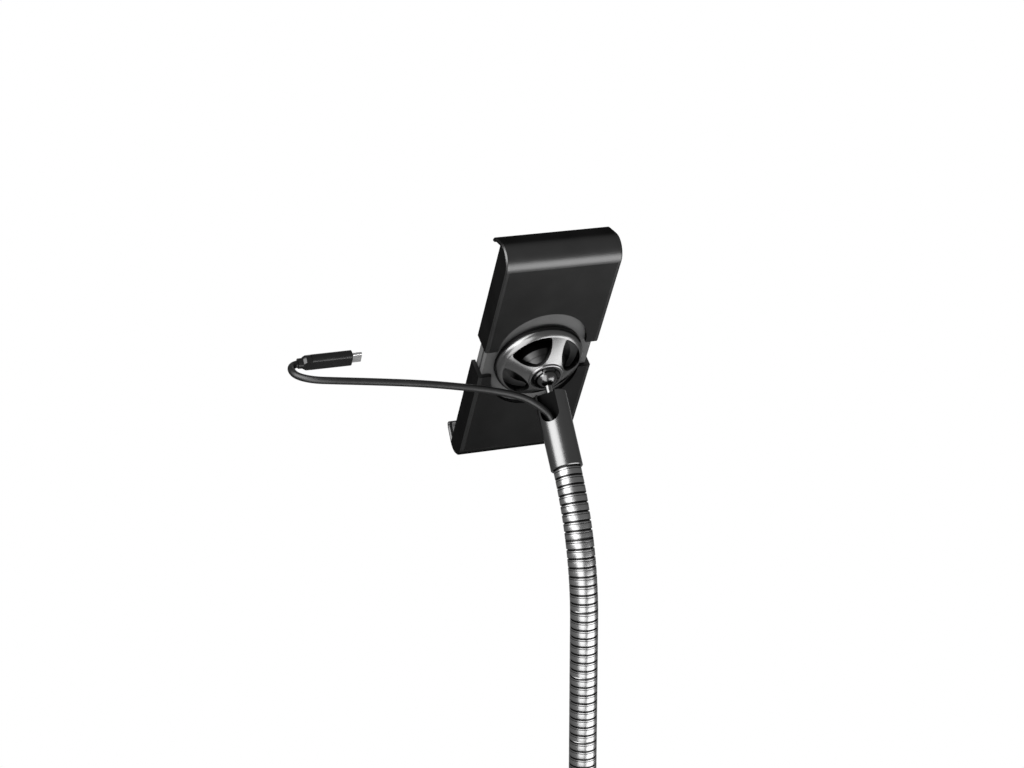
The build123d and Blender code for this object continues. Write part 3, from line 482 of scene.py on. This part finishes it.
# Each jaw is a bent shell with closed sides and a hooked end, moulded in satin black.
# A separate dark panel is let into its back, and rubber lines the hook.

jaw_satin = dark_coat("jaw satin", shine=0.0198, rough=0.34, edge=0.1)
jaw_satin.on("upper_jaw", "lower_jaw", "upper_jaw_front_plate", "lower_jaw_front_plate")
panel_matt = dark_coat("panel matt", shine=0.0115, rough=0.36, edge=0.1)
panel_matt.on("upper_jaw_panel", "lower_jaw_panel")
hook_rubber = soft_rubber("hook rubber", shade=0.018, grain=0.0004)
hook_rubber.on("upper_hook_liner", "lower_hook_liner")


# The stand is on a plain pale studio floor, in a white room.
# Near the base the floor keeps the shadow, and further out it runs into white.

floor_half = 12.0
shadow_reach = 0.35
white_reach = 1.3
room_light = 0.35


def background_rays(tree):
    """1 for rays that see the white background: from the camera, mirrored or passed through."""
    rays = tree.nodes.new("ShaderNodeLightPath").outputs
    names = ("Is Camera Ray", "Is Glossy Ray", "Is Transmission Ray")
    camera_rays, mirrored, through = [Shade(tree, rays[name]) for name in names]
    return camera_rays + mirrored + through


floor_mesh = bpy.data.meshes.new("floor")
corners = [(x * floor_half, y * floor_half, 0) for x, y in ((-1, -1), (1, -1), (1, 1), (-1, 1))]
floor_mesh.from_pydata(corners, [], [(0, 1, 2, 3)])
floor = bpy.data.objects.new("floor", floor_mesh)
bpy.context.collection.objects.link(floor)
floor_paint = Finish("floor paint")
floor_paint.set(Base_Color=(0.42, 0.42, 0.42, 1), Roughness=0.9, Specular_IOR_Level=0.2)
from_base = floor_paint.place.node(
    "ShaderNodeVectorMath", {"operation": "LENGTH"}, {0: floor_paint.place}, 1
)
whitening = from_base.node(
    "ShaderNodeMapRange", {"interpolation_type": "SMOOTHSTEP"},
    {0: from_base, 1: shadow_reach, 2: white_reach},
)
white_share = whitening * background_rays(floor_paint.tree)
paint = Shade(floor_paint.tree, floor_paint.shader.outputs[0])
glow = paint.node("ShaderNodeEmission", {}, {"Color": (1, 1, 1, 1), "Strength": 1.0})
surface = paint.node("ShaderNodeMixShader", {}, {0: white_share, 1: paint, 2: glow})
paint.feed(floor_paint.tree.nodes["Material Output"].inputs["Surface"], surface)
floor_mesh.materials.append(floor_paint.material)
world = bpy.data.worlds.new("studio")
bpy.context.scene.world = world
world.use_nodes = True
sky = world.node_tree
seen = background_rays(sky)
room = seen.node("ShaderNodeBackground", {}, {"Color": (1, 1, 1, 1), "Strength": room_light})
backdrop = seen.node("ShaderNodeBackground", {}, {"Color": (1, 1, 1, 1), "Strength": 1.0})
air = seen.node("ShaderNodeMixShader", {}, {0: seen, 1: room, 2: backdrop})
air.feed(sky.nodes["World Output"].inputs["Surface"], air)


# Four soft boxes light the stand, all aimed at the clamp: a large key box above its left,
# a low box and a side box that stand right and left of the camera, and a box at its front.

lit_place = Vector((0.0, -0.08, 1.25))


def soft_box(name, spot, size, watts):
    """A rectangular lamp at a spot, with its two sizes in metres."""
    lamp = bpy.data.lights.new(name, "AREA")
    lamp.shape = "RECTANGLE"
    lamp.size, lamp.size_y = size
    lamp.energy = watts
    box = bpy.data.objects.new(name, lamp)
    box.location = spot
    box.rotation_euler = (lit_place - Vector(spot)).to_track_quat("-Z", "Y").to_euler()
    box.visible_camera = False
    bpy.context.collection.objects.link(box)


soft_box("key box", spot=(1.01, 0.27, 1.98), size=(1.2, 1.6), watts=127)
soft_box("low box", spot=(-0.58, 0.67, 0.70), size=(1.05, 0.75), watts=41)
soft_box("side box", spot=(0.65, 0.92, 1.08), size=(0.95, 1.4), watts=53)
soft_box("front box", spot=(-0.7, -1.8, 2.1), size=(1.6, 0.6), watts=23)


# The camera looks down on the clamp's back from above the lead's side.
# Its lens is long, so that the clamp's edges stay nearly parallel.

camera_place = Vector((0.5560, 1.3220, 1.7170))
camera_aim = Vector((0.0466, -0.0100, 1.2520))
camera_data = bpy.data.cameras.new("camera")
camera_data.lens = 83.83
camera_data.sensor_width = 36.0
camera_data.clip_end = 100.0
camera = bpy.data.objects.new("camera", camera_data)
camera.location = camera_place
camera.rotation_euler = (camera_aim - camera_place).to_track_quat("-Z", "Y").to_euler()
bpy.context.collection.objects.link(camera)
bpy.context.scene.camera = camera
bpy.context.scene.view_settings.view_transform = "Standard"
